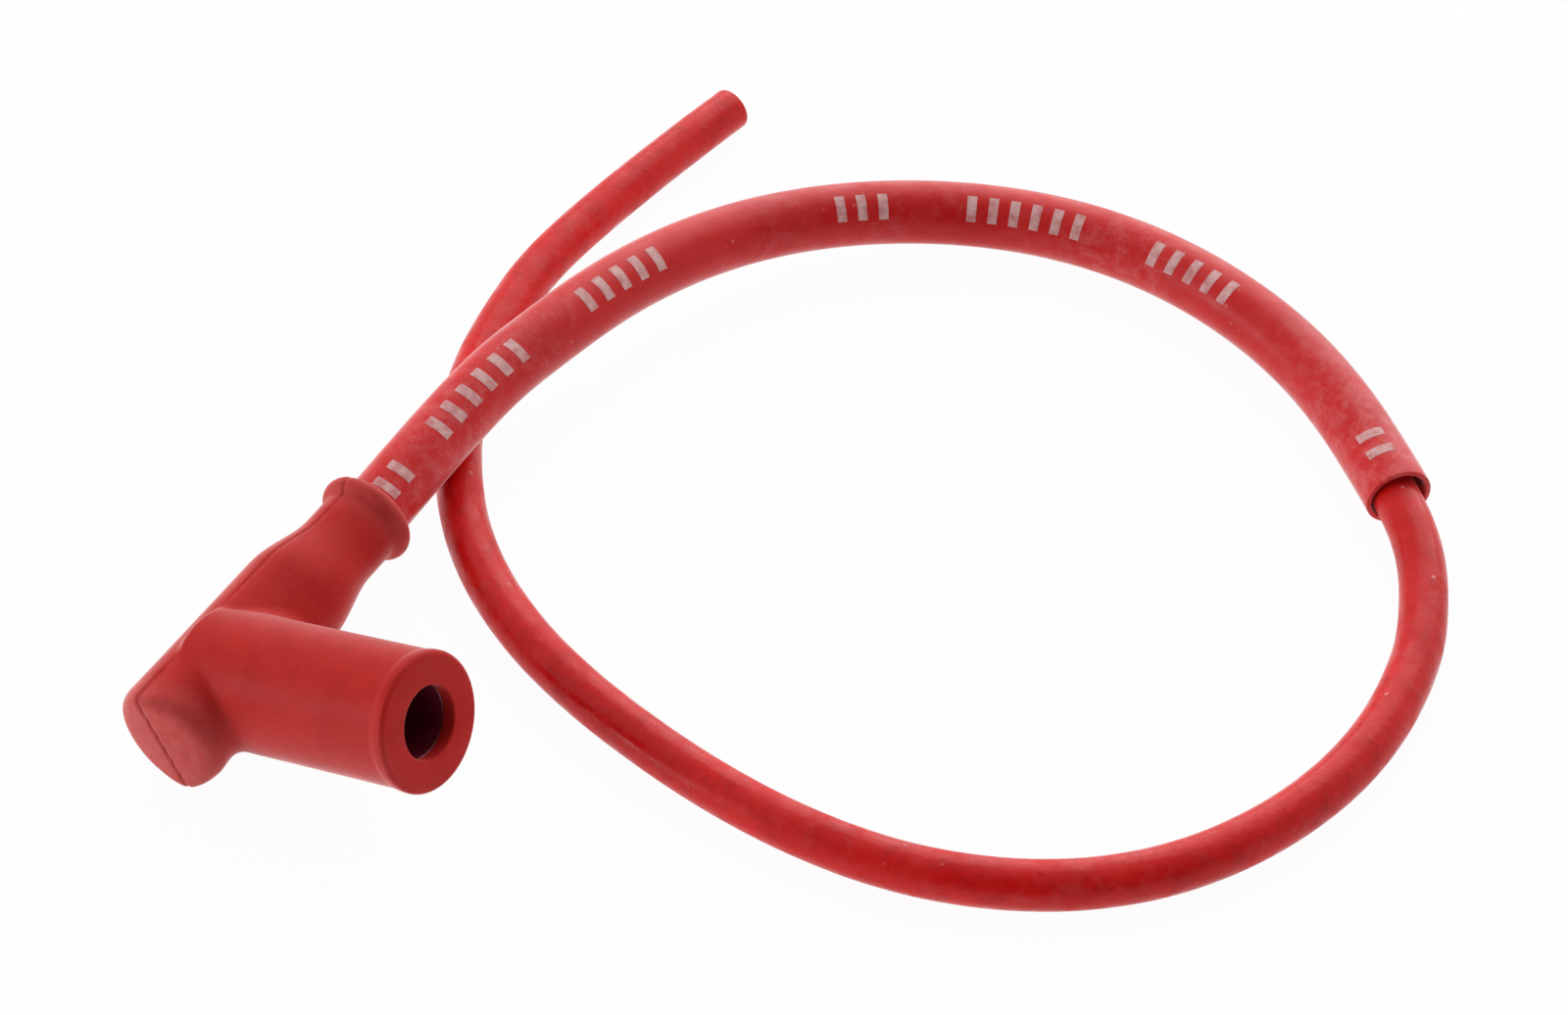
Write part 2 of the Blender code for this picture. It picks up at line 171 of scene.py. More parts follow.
# Plain pale marks on the sleeve: where each row starts along it, and how many marks it has
MARK_ROWS = ((0.0160, 2), (0.0290, 6), (0.0620, 5), (0.1110, 3), (0.1330, 6), (0.1650, 5), (0.2170, 2))
MARK_PITCH = 0.0036
MARK_LENGTH = 0.0016
MARK_HEIGHT = 0.0042
MARK_LIFT = 0.00004
MARK_FACING = (0.30, -0.55, 0.78)
MARK_SPANS = 3
MARK_STEPS = 8

# The lead's route beyond the collar, over itself and round on the table
ROUTE = [
    (-0.0140, 0.0505, 0.0127),
    (-0.0121, 0.0649, 0.0132),
    (-0.0090, 0.0804, 0.0129),
    (-0.0030, 0.0987, 0.0110),
    (0.0058, 0.1133, 0.0089),
    (0.0173, 0.1243, 0.0073),
    (0.0308, 0.1320, 0.0061),
    (0.0464, 0.1357, 0.0055),
    (0.0642, 0.1345, 0.0052),
    (0.0820, 0.1281, 0.0051),
    (0.0950, 0.1197, 0.0050),
    (0.1039, 0.1121, 0.0048),
    (0.1121, 0.1041, 0.0047),
    (0.1177, 0.0968, 0.0041),
    (0.1211, 0.0898, 0.0037),
    (0.1238, 0.0818, 0.0036),
    (0.1254, 0.0687, 0.0036),
    (0.1241, 0.0545, 0.0036),
    (0.1191, 0.0401, 0.0036),
    (0.1107, 0.0274, 0.0036),
    (0.0994, 0.0179, 0.0036),
    (0.0863, 0.0119, 0.0036),
    (0.0728, 0.0092, 0.0036),
    (0.0573, 0.0092, 0.0036),
    (0.0418, 0.0115, 0.0036),
    (0.0261, 0.0156, 0.0036),
    (0.0127, 0.0211, 0.0036),
    (0.0009, 0.0286, 0.0036),
    (-0.0084, 0.0375, 0.0036),
    (-0.0157, 0.0475, 0.0036),
    (-0.0207, 0.0568, 0.0036),
    (-0.0242, 0.0669, 0.0036),
    (-0.0265, 0.0786, 0.0036),
    (-0.0274, 0.0934, 0.0036),
    (-0.0238, 0.1249, 0.0036),
    (-0.0217, 0.1374, 0.0036),
]

# Camera, fitted to the photograph
CAMERA_PLACE = (0.22062, -0.26454, 0.37845)
CAMERA_TARGET = (0.03042, 0.06446, -0.00025)
CAMERA_LENS = 83.25

# Light: a white tent, with a dim opening in one direction whose edge fades between two cosines
TENT_OPENING = (0.48, -0.58, 0.66)
TENT_LEVEL = 0.92
OPENING_LEVEL = 0.05
OPENING_EDGE = (0.40, 0.95)

# Floor: how much of it glows white, seen by the camera or in a gloss, and by light that bounces
FLOOR_HALF = 3.0
FLOOR_GLOW = 0.96
FLOOR_BOUNCE = 0.95

# Fineness of the moulding's surface and of the turned pieces
VOXEL = 0.25
TURN_STEPS = 96
TUBE_STEPS = 48


def link(name, mesh, material):
    piece = bpy.data.objects.new(name, mesh)
    bpy.context.scene.collection.objects.link(piece)
    if material is not None:
        mesh.materials.append(material)
    return piece


def shade(piece, degrees=35):
    """Smooth shading, with hard edges where faces meet at more than this angle."""
    piece.data.shade_smooth()
    piece.data.set_sharp_from_angle(angle=math.radians(degrees))


# Materials


def node_material(name, roughness, specular, sheen=0.0, sheen_tint=(1.0, 1.0, 1.0), metallic=0.0):
    """A material with its Principled shader, and a coordinate in the row's metres."""
    material = bpy.data.materials.new(name)
    material.use_nodes = True
    tree = material.node_tree
    shader = tree.nodes["Principled BSDF"]
    shader.inputs["Roughness"].default_value = roughness
    shader.inputs["Specular IOR Level"].default_value = specular
    shader.inputs["Sheen Weight"].default_value = sheen
    shader.inputs["Sheen Roughness"].default_value = 0.28
    shader.inputs["Sheen Tint"].default_value = (*sheen_tint, 1.0)
    shader.inputs["Metallic"].default_value = metallic
    place = tree.nodes.new("ShaderNodeTexCoord")
    return material, tree, shader, place.outputs["Object"]


def noise(tree, place, scale, detail=4.0, roughness=0.55):
    node = tree.nodes.new("ShaderNodeTexNoise")
    node.inputs["Scale"].default_value = scale
    node.inputs["Detail"].default_value = detail
    node.inputs["Roughness"].default_value = roughness
    tree.links.new(place, node.inputs["Vector"])
    return node.outputs["Fac"]


def remap(tree, value, low, high, to_low=0.0, to_high=1.0):
    node = tree.nodes.new("ShaderNodeMapRange")
    node.inputs["From Min"].default_value = low
    node.inputs["From Max"].default_value = high
    node.inputs["To Min"].default_value = to_low
    node.inputs["To Max"].default_value = to_high
    tree.links.new(value, node.inputs["Value"])
    return node.outputs["Result"]


def calculate(tree, operation, *values):
    """A math node on sockets or numbers."""
    node = tree.nodes.new("ShaderNodeMath")
    node.operation = operation
    for socket, value in zip(node.inputs, values):
        if isinstance(value, bpy.types.NodeSocket):
            tree.links.new(value, socket)
        else:
            socket.default_value = value
    return node.outputs["Value"]


def multiply(tree, first, second):
    return calculate(tree, "MULTIPLY", first, second)


def greater(tree, first, second):
    return calculate(tree, "MAXIMUM", first, second)


def absolute(tree, value):
    return calculate(tree, "ABSOLUTE", value)


def reach_along(tree, place, axis):
    """The dot product of a place and an axis."""
    node = tree.nodes.new("ShaderNodeVectorMath")
    node.operation = "DOT_PRODUCT"
    node.inputs[1].default_value = axis
    tree.links.new(place, node.inputs[0])
    return node.outputs["Value"]


def cap_place(tree, place, axis):
    """How far a place lies along an axis from the cap's centre."""
    return calculate(tree, "SUBTRACT", reach_along(tree, place, axis), axis.dot(Vector(CAP_CENTRE)))


def mix_colour(tree, share, first, second):
    """Mix two colours, each a value or a socket, by a share that is a value or a socket."""
    node = tree.nodes.new("ShaderNodeMix")
    node.data_type = "RGBA"
    inputs = {"Factor_Float": share, "A_Color": first, "B_Color": second}
    for socket in node.inputs:
        if socket.identifier in inputs:
            value = inputs[socket.identifier]
            if isinstance(value, bpy.types.NodeSocket):
                tree.links.new(value, socket)
            elif isinstance(value, tuple):
                socket.default_value = (*value, 1.0)
            else:
                socket.default_value = value
    return next(output for output in node.outputs if output.identifier == "Result_Color")


def add_bump(tree, shader, height, strength, distance):
    node = tree.nodes.new("ShaderNodeBump")
    node.inputs["Strength"].default_value = strength
    node.inputs["Distance"].default_value = distance
    tree.links.new(height, node.inputs["Height"])
    tree.links.new(node.outputs["Normal"], shader.inputs["Normal"])


def specks(tree, place, scale, size):
    """Small round specks: 1 inside a speck, 0 elsewhere."""
    node = tree.nodes.new("ShaderNodeTexVoronoi")
    node.inputs["Scale"].default_value = scale
    tree.links.new(place, node.inputs["Vector"])
    return remap(tree, node.outputs["Distance"], size, size * 0.5)


def seam_mask(tree, place):
    """1 on the mould's parting line, along the leg and over the knob, and 0 elsewhere."""
    leg_axis = CAP_MATRIX.col[1].xyz
    seam_axis = CAP_MATRIX.col[0].xyz * math.cos(SEAM_TURN) + CAP_MATRIX.col[2].xyz * math.sin(SEAM_TURN)
    across = cap_place(tree, place, seam_axis)
    along = cap_place(tree, place, leg_axis)
    line = remap(tree, absolute(tree, across), SEAM_WIDTH * MM * 1.3, SEAM_WIDTH * MM * 0.3)
    clear = remap(tree, absolute(tree, along), BARREL_RADIUS * MM * 0.95, BARREL_RADIUS * MM * 1.3)
    return multiply(tree, line, clear)


def make_cap_rubber():
    """Matte moulded silicone: clouded deep red, with a painted pale highlight over the knob's end and the
    collar, and dirt and painted shade in its seam.
    """
    material, tree, shader, place = node_material(
        "cap_rubber", 0.48, 0.07, sheen=1.0, sheen_tint=(1.0, 0.60, 0.58))
    clouds = remap(tree, noise(tree, place, 160, 3.0), 0.35, 0.65)
    colour = mix_colour(tree, clouds, (0.420, 0.0150, 0.0125), (0.475, 0.0200, 0.0165))
    fine = remap(tree, noise(tree, place, 900, 2.0), 0.55, 0.75, 0.0, 0.35)
    colour = mix_colour(tree, fine, colour, (0.34, 0.012, 0.011))
    worn = remap(tree, noise(tree, place, 2600, 2.0), 0.66, 0.74, 0.0, 0.30)
    colour = mix_colour(tree, worn, colour, (0.60, 0.11, 0.10))
    # Painted highlight: the knob's end and the collar are mixed towards pale pink, as if more light fell on
    # them there
    along = cap_place(tree, place, CAP_MATRIX.col[1].xyz)
    highlight_ends = greater(tree, remap(tree, along, KNOB_FADE[0] * MM, KNOB_FADE[1] * MM),
                   remap(tree, along, COLLAR_FADE[0] * MM, COLLAR_FADE[1] * MM, 0.0, 0.6))
    painted_highlight = multiply(tree, highlight_ends, remap(tree, noise(tree, place, 700, 5.0, 0.6), 0.35, 0.65, 0.32, 0.50))
    colour = mix_colour(tree, painted_highlight, colour, (0.62, 0.15, 0.14))
    # Dirt and painted shade: the seam's groove is darkened, partly as dirt and partly as the shade that
    # falls into it
    seam_dirt_and_shade = remap(tree, seam_mask(tree, place), 0.0, 1.0, 0.0, 0.35)
    colour = mix_colour(tree, seam_dirt_and_shade, colour, (0.20, 0.008, 0.008))
    tree.links.new(colour, shader.inputs["Base Color"])
    gloss = remap(tree, noise(tree, place, 420, 3.0), 0.3, 0.7, 0.43, 0.54)
    tree.links.new(gloss, shader.inputs["Roughness"])
    add_bump(tree, shader, noise(tree, place, 1500, 3.0), 0.10, 0.0002)
    return material


def make_cable_rubber():
    """Glossy silicone jacket, mottled dark and light, with dust and pale specks on it."""
    material, tree, shader, place = node_material(
        "cable_rubber", 0.34, 0.22, sheen=0.35, sheen_tint=(1.0, 0.64, 0.64))
    clouds = remap(tree, noise(tree, place, 60, 4.0), 0.35, 0.65)
    colour = mix_colour(tree, clouds, (0.57, 0.0060, 0.0055), (0.68, 0.0105, 0.0095))
    shade_share = remap(tree, noise(tree, place, 300, 6.0, 0.7), 0.50, 0.66, 0.0, 0.40)
    colour = mix_colour(tree, shade_share, colour, (0.34, 0.005, 0.005))
    dust = remap(tree, noise(tree, place, 380, 8.0, 0.7), 0.50, 0.70, 0.0, 0.26)
    colour = mix_colour(tree, dust, colour, (0.62, 0.080, 0.080))
    streaks = remap(tree, noise(tree, place, 900, 3.0, 0.6), 0.62, 0.70, 0.0, 0.5)
    colour = mix_colour(tree, multiply(tree, streaks, dust), colour, (0.85, 0.45, 0.45))
    flecks = multiply(tree, specks(tree, place, 420, 0.16),
                      remap(tree, noise(tree, place, 150, 2.0), 0.58, 0.62))
    colour = mix_colour(tree, remap(tree, flecks, 0.0, 1.0, 0.0, 0.45), colour, (0.85, 0.50, 0.48))
    tree.links.new(colour, shader.inputs["Base Color"])
    gloss = remap(tree, noise(tree, place, 200, 6.0, 0.65), 0.38, 0.62, 0.18, 0.50)
    tree.links.new(gloss, shader.inputs["Roughness"])
    add_bump(tree, shader, noise(tree, place, 300, 6.0), 0.45, 0.0004)
    return material


def make_sleeve_rubber():
    """Satin outer sleeve, paler than the cable where dust lies on it, most of all at its open end."""
    material, tree, shader, place = node_material(
        "sleeve_rubber", 0.36, 0.24, sheen=1.0, sheen_tint=(1.0, 0.72, 0.72))
    clouds = remap(tree, noise(tree, place, 50, 5.0), 0.35, 0.65)
    colour = mix_colour(tree, clouds, (0.540, 0.007, 0.007), (0.640, 0.014, 0.015))
    patches = remap(tree, noise(tree, place, 30, 3.0), 0.44, 0.62, 0.05, 0.8)
    sideways = reach_along(tree, place, (1.0, 0.0, 0.0))
    patches = greater(tree, patches, remap(tree, sideways, *DUSTY_END))
    dust = remap(tree, noise(tree, place, 420, 8.0, 0.75), 0.44, 0.62, 0.0, 0.50)
    colour = mix_colour(tree, multiply(tree, dust, patches), colour, (0.72, 0.170, 0.175))
    flecks = multiply(tree, specks(tree, place, 380, 0.15),
                      remap(tree, noise(tree, place, 130, 2.0), 0.56, 0.62))
    colour = mix_colour(tree, remap(tree, flecks, 0.0, 1.0, 0.0, 0.2), colour, (0.80, 0.50, 0.50))
    tree.links.new(colour, shader.inputs["Base Color"])
    gloss = remap(tree, noise(tree, place, 160, 6.0, 0.65), 0.35, 0.65, 0.28, 0.50)
    tree.links.new(gloss, shader.inputs["Roughness"])
    add_bump(tree, shader, noise(tree, place, 400, 4.0), 0.15, 0.0003)
    return material


def make_mark_paint():
    """Pale paint, thin and rubbed, for the plain marks on the sleeve."""
    material, tree, shader, place = node_material("mark_paint", 0.5, 0.3)
    rubbed = remap(tree, noise(tree, place, 700, 5.0, 0.65), 0.40, 0.66, 0.0, 0.75)
    colour = mix_colour(tree, rubbed, (0.72, 0.42, 0.41), (0.52, 0.12, 0.12))
    tree.links.new(colour, shader.inputs["Base Color"])
    gloss = remap(tree, noise(tree, place, 300, 3.0), 0.3, 0.7, 0.4, 0.6)
    tree.links.new(gloss, shader.inputs["Roughness"])
    return material


def make_dark_resin():
    material, tree, shader, place = node_material("dark_resin", 0.22, 0.5)
    clouds = remap(tree, noise(tree, place, 250, 3.0), 0.35, 0.65)
    colour = mix_colour(tree, clouds, (0.140, 0.010, 0.022), (0.200, 0.020, 0.042))
    tree.links.new(colour, shader.inputs["Base Color"])
    gloss = remap(tree, noise(tree, place, 600, 3.0), 0.3, 0.7, 0.16, 0.30)
    tree.links.new(gloss, shader.inputs["Roughness"])
    return material


def make_metal(name, colour, worn_colour, roughness):
    material, tree, shader, place = node_material(name, roughness, 0.5, metallic=1.0)
    clouds = remap(tree, noise(tree, place, 500, 5.0), 0.35, 0.65)
    tree.links.new(mix_colour(tree, clouds, colour, worn_colour), shader.inputs["Base Color"])
    gloss = remap(tree, noise(tree, place, 1200, 3.0), 0.3, 0.7, roughness - 0.08, roughness + 0.1)
    tree.links.new(gloss, shader.inputs["Roughness"])
    return material


def make_ceramic():
    material, tree, shader, place = node_material("ceramic", 0.4, 0.5)
    clouds = remap(tree, noise(tree, place, 400, 4.0), 0.35, 0.65)
    colour = mix_colour(tree, clouds, (0.80, 0.78, 0.72), (0.72, 0.69, 0.62))
    tree.links.new(colour, shader.inputs["Base Color"])
    add_bump(tree, shader, noise(tree, place, 1800, 2.0), 0.15, 0.0001)
    return material


# Turned shapes


def join_rings(shape, first, second, steps):
    """Faces between two rings of vertices, either of which may be a single point."""
    for i in range(steps):
        j = (i + 1) % steps
        corners = [first[i % len(first)], first[j % len(first)],
                   second[j % len(second)], second[i % len(second)]]
        corners = list(dict.fromkeys(corners))
        if len(corners) > 2:
            shape.faces.new(corners)


def finished_mesh(shape, name):
    """Turn a shape under construction into a mesh, with all its faces looking outwards."""
    bmesh.ops.recalc_face_normals(shape, faces=shape.faces)
    mesh = bpy.data.meshes.new(name)
    shape.to_mesh(mesh)
    shape.free()
    return mesh


def turned_mesh(name, profile, steps=TURN_STEPS, axis="X"):
    """A mesh turned from (radius, place) points in millimetres, in the cap's local frame."""
    shape = bmesh.new()
    rings = []
    for radius, place in profile:
        if radius < 1e-6:
            spot = (place, 0, 0) if axis == "X" else (0, place, 0)
            rings.append([shape.verts.new(spot)])
            continue
        ring = []
        for i in range(steps):
            angle = 2 * math.pi * i / steps
            a = radius * math.cos(angle)
            b = radius * math.sin(angle)
            ring.append(shape.verts.new((place, a, b) if axis == "X" else (a, place, b)))
        rings.append(ring)
    pairs = list(zip(rings, rings[1:]))
    if len(rings[0]) > 1 and len(rings[-1]) > 1:
        pairs.append((rings[-1], rings[0]))
    for first, second in pairs:
        join_rings(shape, first, second, steps)
    return finished_mesh(shape, name)


def arc(centre, radius, start, end, steps=6):
    """Points (radius, place) on a circle in the profile's plane, from one angle to another in degrees."""
    points = []
    for i in range(steps + 1):
        angle = math.radians(start + (end - start) * i / steps)
        points.append((centre[0] + radius * math.cos(angle), centre[1] + radius * math.sin(angle)))
    return points


def place_on_cap(mesh):
    """Bring a mesh from the cap's local millimetres to the row's metres."""
    mesh.transform(CAP_MATRIX @ Matrix.Scale(MM, 4))


# The moulding as one smooth surface


def leg_radius(y):
    """The leg's radius along it, narrowing from the shoulder to the neck."""
    share = np.clip((y - SHOULDER_START) / SHOULDER_LENGTH, 0.0, 1.0)
    return LEG_RADIUS + (NECK_RADIUS - LEG_RADIUS) * (1 - np.cos(math.pi * share)) / 2


def smooth_least(a, b, reach):
    """The lesser of two distances, blended where they differ by less than the reach."""
    share = np.clip(0.5 + 0.5 * (b - a) / reach, 0.0, 1.0)
    return b + (a - b) * share - reach * share * (1 - share)


def seam_place(p):
    """How far a point lies from the mould's parting plane, which runs along the leg."""
    return p[:, 0] * math.cos(SEAM_TURN) + p[:, 2] * math.sin(SEAM_TURN)


def leg_distance(p):
    """Distance to the leg's outside: the knob with its flat end, the shoulder, the neck and the bead."""
    x, y, z = p.T
    flare = np.clip((-y - KNOB_FLARE_START) / KNOB_FLARE_LENGTH, 0.0, 1.0)
    seam = seam_place(p)
    across = np.hypot(x - LEG_SHIFT - flare * KNOB_SHIFT[0],
                      z - flare * (KNOB_SHIFT[1] - HALVES_APART * np.tanh(seam / SEAM_WIDTH)))
    side = across - leg_radius(y) - flare * (KNOB_RADIUS - LEG_RADIUS)
    knob_end = -KNOB_LENGTH + KNOB_ROUNDING * (np.abs(x) / KNOB_RADIUS) ** KNOB_BLUNTNESS
    end = knob_end - y
    rim = KNOB_SEAM_RIM + (KNOB_RIM - KNOB_SEAM_RIM) * np.clip(np.abs(seam) / KNOB_RIM_SPREAD, 0.0, 1.0)
    body = -smooth_least(-side, -end, rim * KNOB_RIM_BLEND)
    body = np.maximum(body, y - BEAD_PLACE)
    bead = np.hypot(across - BEAD_MIDDLE, y - BEAD_PLACE) - BEAD_RADIUS
    return smooth_least(body, bead, BEAD_BLEND)


def barrel_distance(p):
    """Distance to the barrel's outside, with a dome behind it. The mouth is cut flat later."""
    x, y, z = p.T
    across = np.hypot(y - BARREL_SKEW * (1 - x / BARREL_LENGTH), z)
    band = np.clip((x - BARREL_LENGTH + 2 * MOUTH_BAND) / MOUTH_BAND, 0.0, 1.0)
    front = across - BARREL_WAIST - (BARREL_RADIUS - BARREL_WAIST) * band * band * (3 - 2 * band)
    reach = np.hypot(across / BARREL_WAIST, x / BARREL_REAR)
    rear = reach * (reach - 1) / np.maximum(np.hypot(across / BARREL_WAIST ** 2, x / BARREL_REAR ** 2), 1e-6)
    body = np.where(x > 0, front, rear)
    return np.maximum(body, x - BARREL_LENGTH - OVERRUN)


def slope(distance, p, step=0.02):
    """The gradient of a distance function at many points, by central differences."""
    found = np.empty_like(p)
    for i in range(3):
        shift = np.zeros(3)
        shift[i] = step
        found[:, i] = (distance(p + shift) - distance(p - shift)) / (2 * step)
    return found


def moulding_distance(p):
    """Distance to the whole outside: leg and barrel with a fillet, and the mould's seam."""
    leg = leg_distance(p)
    barrel = barrel_distance(p)
    near = np.abs(leg - barrel) < INNER_FILLET * FILLET_REACH
    fillet = np.full(len(p), LEAST_FILLET)
    q = p[near]
    one = slope(leg_distance, q)
    other = slope(barrel_distance, q)
    lengths = np.linalg.norm(one, axis=1) * np.linalg.norm(other, axis=1) + 1e-9
    cosine = np.clip((one * other).sum(1) / lengths, -1, 1)
    inner = (np.clip((q[:, 1] - INNER_START[1]) / INNER_GROWTH[1], 0, 1)
             * np.clip((q[:, 0] - INNER_START[0]) / INNER_GROWTH[0], 0, 1))
    radius = OUTER_FILLET + (INNER_FILLET - OUTER_FILLET) * inner
    fillet[near] = np.maximum(4 * radius * (1 - np.sqrt((1 + cosine) / 2)), LEAST_FILLET)
    seam = seam_place(p)
    seam_side = SEAM_STEP / 2 * np.tanh(seam / SEAM_WIDTH)
    depth = SEAM_GROOVE * (1 + KNOB_SEAM * np.clip((-p[:, 1] - KNOB_SEAM_START) / KNOB_SEAM_LENGTH, 0, 1))
    groove = depth * np.exp(-(seam / SEAM_WIDTH) ** 2)
    seam_share = np.clip((barrel - leg) / SEAM_FADE, 0, 1)
    return smooth_least(leg, barrel, fillet) + (seam_side + groove) * seam_share


def settle(p, rounds=6):
    """Move points onto the moulding's surface."""
    for _ in range(rounds):
        away = moulding_distance(p)
        lean = slope(moulding_distance, p)
        step = away / np.maximum((lean ** 2).sum(1), 0.25)
        p = p - lean * np.clip(step, -SETTLE_STEP, SETTLE_STEP)[:, None]
    return p


def modifier_result(piece):
    """The mesh that an object's modifiers evaluate to, as a new mesh."""
    depsgraph = bpy.context.evaluated_depsgraph_get()
    return bpy.data.meshes.new_from_object(piece.evaluated_get(depsgraph))


def cut(piece, mesh):
    """Take a closed mesh away from a piece."""
    cutter = link("cutter", mesh, None)
    boolean = piece.modifiers.new("Cut", "BOOLEAN")
    boolean.operation = "DIFFERENCE"
    boolean.object = cutter
    boolean.solver = "EXACT"
    result = modifier_result(piece)
    piece.modifiers.clear()
    piece.data = result
    bpy.data.objects.remove(cutter)


def build_moulding(material):
    """One closed rubber moulding: rough shapes remeshed, settled on the smooth surface, then bored."""
    leg_profile = [(0.0, -KNOB_LENGTH), (KNOB_RADIUS, -KNOB_LENGTH), (LEG_RADIUS, SHOULDER_START),
                   (NECK_RADIUS, SHOULDER_START + SHOULDER_LENGTH), (NECK_RADIUS, BEAD_PLACE - BEAD_RADIUS),
                   (BEAD_MIDDLE + BEAD_RADIUS, BEAD_PLACE), (BEAD_MIDDLE, LEG_LENGTH), (0.0, LEG_LENGTH)]
    barrel_profile = [(0.0, 0.0), (BARREL_RADIUS, 0.0), (BARREL_RADIUS, BARREL_LENGTH + OVERRUN),
                      (0.0, BARREL_LENGTH + OVERRUN)]
    rough = bmesh.new()
    for profile, axis in ((leg_profile, "Y"), (barrel_profile, "X")):
        mesh = turned_mesh("rough", profile, ROUGH_STEPS, axis)
        rough.from_mesh(mesh)
        bpy.data.meshes.remove(mesh)
    mesh = bpy.data.meshes.new("cap_moulding")
    rough.to_mesh(mesh)
    rough.free()
    piece = link("cap_moulding", mesh, None)
    remesh = piece.modifiers.new("Remesh", "REMESH")
    remesh.mode = "VOXEL"
    remesh.voxel_size = VOXEL
    mesh = modifier_result(piece)
    piece.modifiers.clear()
    points = np.empty(len(mesh.vertices) * 3)
    mesh.vertices.foreach_get("co", points)
    points = settle(points.reshape(-1, 3))
    mesh.vertices.foreach_set("co", points.ravel())
    piece.data = mesh

    corner = (BARREL_RADIUS - MOUTH_ROUNDING, BARREL_LENGTH - MOUTH_ROUNDING)
    far = BARREL_LENGTH + 2 * OVERRUN
    wide = BARREL_RADIUS + OVERRUN
    cut(piece, turned_mesh("mouth_trim", [(0.0, far), (wide, far), (wide, corner[1])]
                           + arc(corner, MOUTH_ROUNDING, 0, 90) + [(0.0, BARREL_LENGTH)]))
    lip = (LIP_BORE_RADIUS + LIP_ROUNDING, BARREL_LENGTH - LIP_ROUNDING)
    cut(piece, turned_mesh("plug_bore", [(0.0, far), (LIP_BORE_RADIUS + LIP_ROUNDING, far)]
                           + arc(lip, LIP_ROUNDING, 90, 180, 4)
                           + [(LIP_BORE_RADIUS, BARREL_LENGTH - LIP_DEPTH),
                              (TUBE_SEAT_RADIUS, BARREL_LENGTH - LIP_DEPTH),
                              (TUBE_SEAT_RADIUS, TUBE_SEAT_START), (NOSE_BORE_RADIUS, TUBE_SEAT_START),
                              (NOSE_BORE_RADIUS, 0.0), (0.0, 0.0)]))
    top = LEG_LENGTH + OVERRUN
    cut(piece, turned_mesh("leg_bore", [(0.0, top), (SLEEVE_BORE_RADIUS, top),
                                        (SLEEVE_BORE_RADIUS, SLEEVE_BORE_START),
                                        (CABLE_BORE_RADIUS, SLEEVE_BORE_START),
                                        (CABLE_BORE_RADIUS, CABLE_BORE_START),
                                        (CHAMBER_RADIUS, CABLE_BORE_START),
                                        (CHAMBER_RADIUS, CHAMBER_START), (0.0, CHAMBER_START)], axis="Y"))
    place_on_cap(piece.data)
    piece.data.materials.clear()
    piece.data.materials.append(material)
    shade(piece, 40)
    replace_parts(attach(piece, "root"), "cap_body")


def build_plug_side(resin, brass):
    """The glossy tube in the barrel, and the brass socket at its bottom."""
    mesh = turned_mesh("bore_tube", [
        (TUBE_RADIUS, TUBE_FRONT),
        (TUBE_RADIUS, TUBE_BACK),
        (NOSE_BORE_RADIUS, TUBE_BACK),
        (NOSE_BORE_RADIUS, SOCKET_BACK - SOCKET_CLEARANCE),
        (SOCKET_RECESS, SOCKET_BACK - SOCKET_CLEARANCE),
        (SOCKET_RECESS, TUBE_SEAT_END),
        (TUBE_BORE, TUBE_SEAT_END + TUBE_LEAD_IN),
        (TUBE_BORE, TUBE_FRONT - TUBE_LEAD_IN),
        (TUBE_BORE + TUBE_LEAD_IN, TUBE_FRONT),
    ])
    place_on_cap(mesh)
    tube = link("bore_tube", mesh, resin)
    shade(tube)
    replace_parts(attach(tube, "root"), "insulator_tube")

    mesh = turned_mesh("terminal_socket", [
        (0.0, SOCKET_FLOOR),
        (SOCKET_BORE, SOCKET_FLOOR),
        (SOCKET_BORE, SOCKET_MOUTH - SOCKET_LEAD_IN),
        (SOCKET_BORE + SOCKET_LEAD_IN, SOCKET_MOUTH),
        (SOCKET_RADIUS - SOCKET_CHAMFER, SOCKET_MOUTH),
        (SOCKET_RADIUS, SOCKET_MOUTH - SOCKET_CHAMFER),
        (SOCKET_RADIUS, SOCKET_MOUTH - CLIP_GROOVE[0]),
        (SOCKET_RADIUS - CLIP_GROOVE_DEPTH, SOCKET_MOUTH - CLIP_GROOVE[0]),
        (SOCKET_RADIUS - CLIP_GROOVE_DEPTH, SOCKET_MOUTH - CLIP_GROOVE[1]),
        (SOCKET_RADIUS, SOCKET_MOUTH - CLIP_GROOVE[1]),
        (SOCKET_RADIUS, SOCKET_BACK),
        (0.0, SOCKET_BACK),
    ])
    place_on_cap(mesh)
    socket = link("terminal_socket", mesh, brass)
    shade(socket)
    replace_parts(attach(socket, "root"), "plug_socket")


# The lead


def smooth_route(points, steps_per_span=24):
    """A natural cubic spline through the points, read finely enough to measure along."""
    knots = np.array(points, dtype=float)
    spans = np.sqrt(np.linalg.norm(np.diff(knots, axis=0), axis=1))
    count = len(knots)
    system = np.eye(count)
    right = np.zeros((count, 3))
    for i in range(1, count - 1):
        before, after = spans[i - 1], spans[i]
        system[i, i - 1] = before
        system[i, i] = 2 * (before + after)
        system[i, i + 1] = after
        right[i] = 6 * ((knots[i + 1] - knots[i]) / after - (knots[i] - knots[i - 1]) / before)
    bends = np.linalg.solve(system, right)
    line = []
    for i, span in enumerate(spans):
        for step in range(steps_per_span):
            t = span * step / steps_per_span
            rest = span - t
            line.append(
                bends[i] * rest ** 3 / (6 * span) + bends[i + 1] * t ** 3 / (6 * span)
                + (knots[i] / span - bends[i] * span / 6) * rest
                + (knots[i + 1] / span - bends[i + 1] * span / 6) * t)
    line.append(knots[-1])
    return np.array(line)


def on_leg(place):
    """A point on the leg's axis, in the row's frame, from its place in metres."""
    return tuple(CAP_MATRIX @ Vector((0.0, place, 0.0)))


